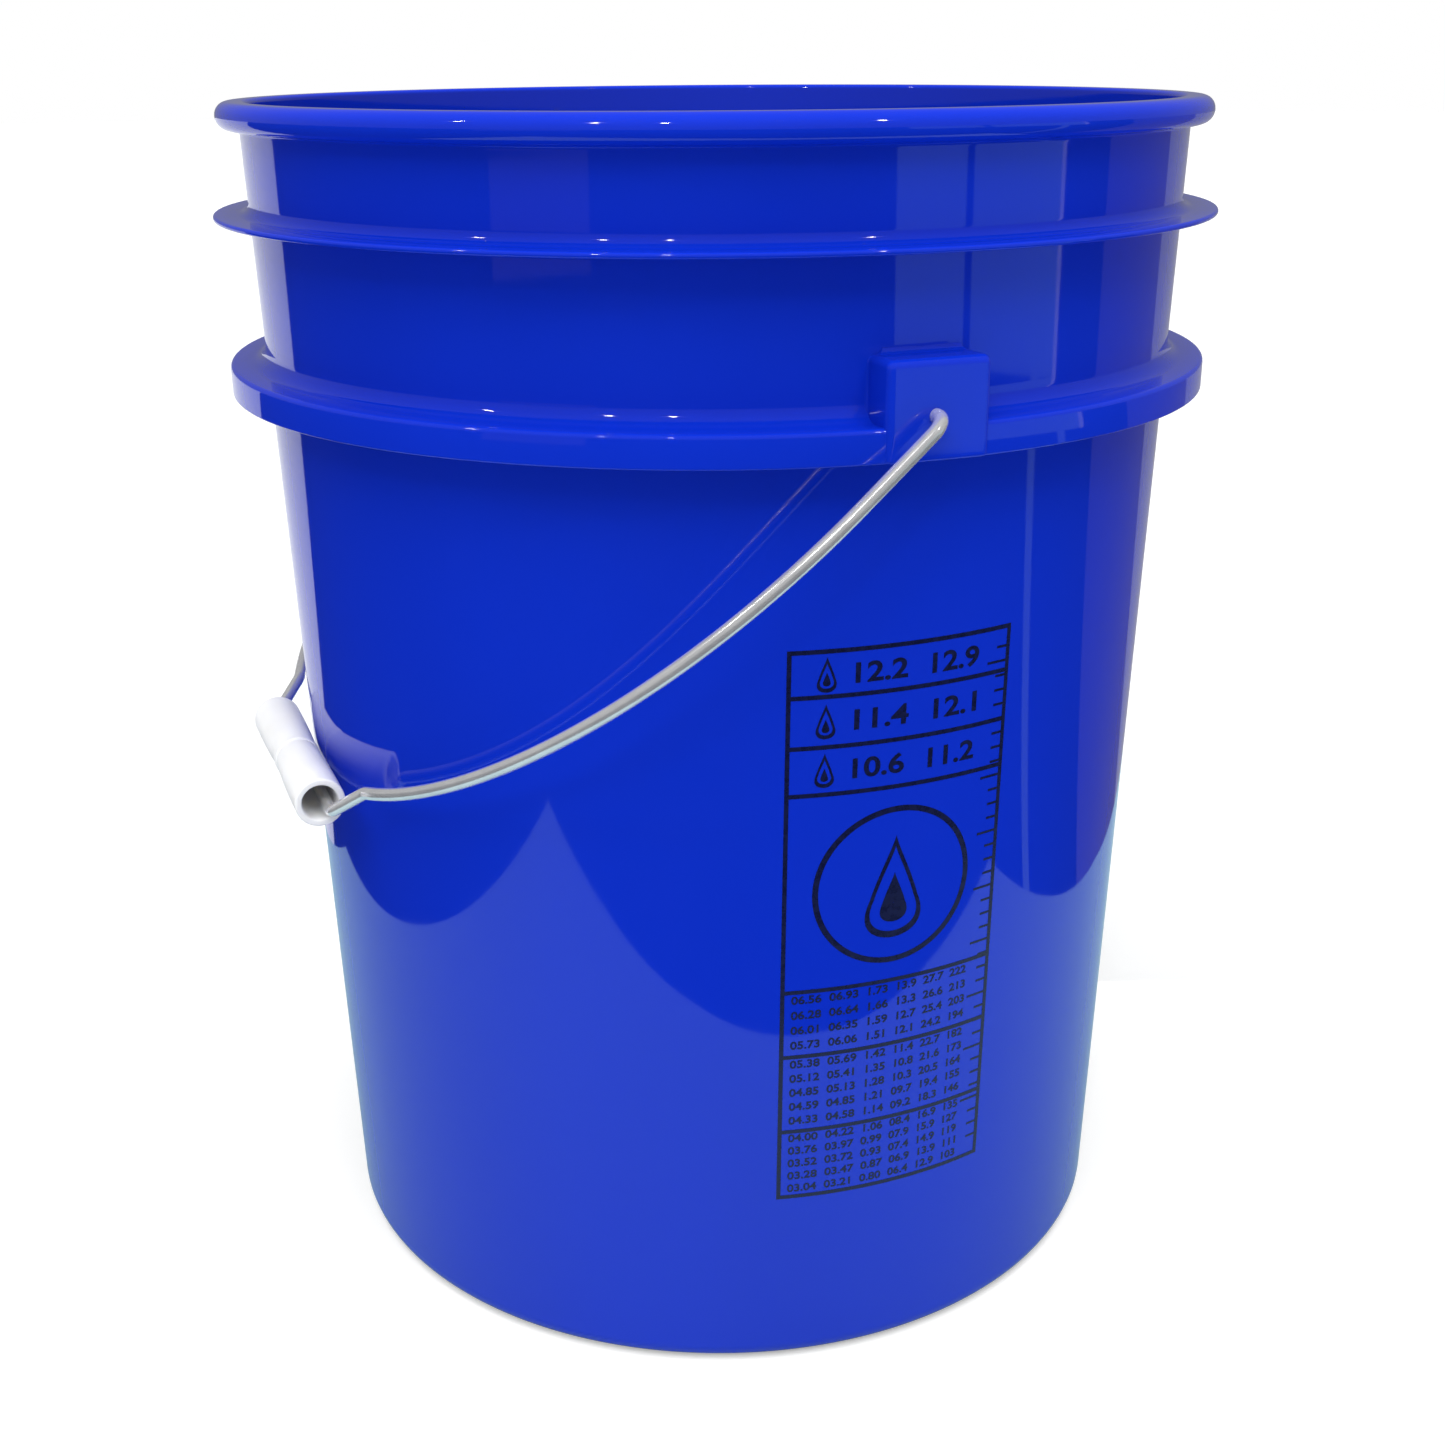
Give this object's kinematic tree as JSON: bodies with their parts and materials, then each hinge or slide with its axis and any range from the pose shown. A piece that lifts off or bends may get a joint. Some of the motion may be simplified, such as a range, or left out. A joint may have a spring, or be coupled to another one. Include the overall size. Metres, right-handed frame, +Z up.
{
  "type": "wash bucket",
  "caption": "Open-head plastic pail, slightly tapered, with rolled rim, flange, carrying ring, boxed ears, swinging wire bail and tube grip, for washing and carrying liquids.",
  "frame": {"origin": "centre of the foot, on the surface that the pail stands on", "axes": "+Z up along the pail's axis; Y runs through the two ears, along the bail's hinge axis; at rest the bail hangs down towards -X"},
  "size_m": [0.3059, 0.3204, 0.368],
  "materials": {
    "pail_plastic": "blue moulded polyethylene, smooth gloss with a soft waxy sheen",
    "plated_wire": "bright zinc-plated drawn steel wire",
    "grip_plastic": "white moulded polyethylene, slightly translucent",
    "print_ink": "black screen-printed ink film"
  },
  "bodies": {
    "pail": {"pail_body": "pail_plastic"},
    "bail": {"bail_wire": "plated_wire"},
    "grip_tube": {"grip": "grip_plastic"}
  },
  "joints": [
    {"name": "bail_swing", "type": "hinge", "parent": "pail", "child": "bail", "pos_m": [-0.00106, 0, 0.29534], "axis": [0, 1, 0], "range_deg": [0, 260]},
    {"name": "grip_spin", "type": "hinge", "parent": "bail", "child": "grip_tube", "pos_m": [-0.14482, 0, 0.17236], "axis": [0, 1, 0], "continuous": true}
  ]
}
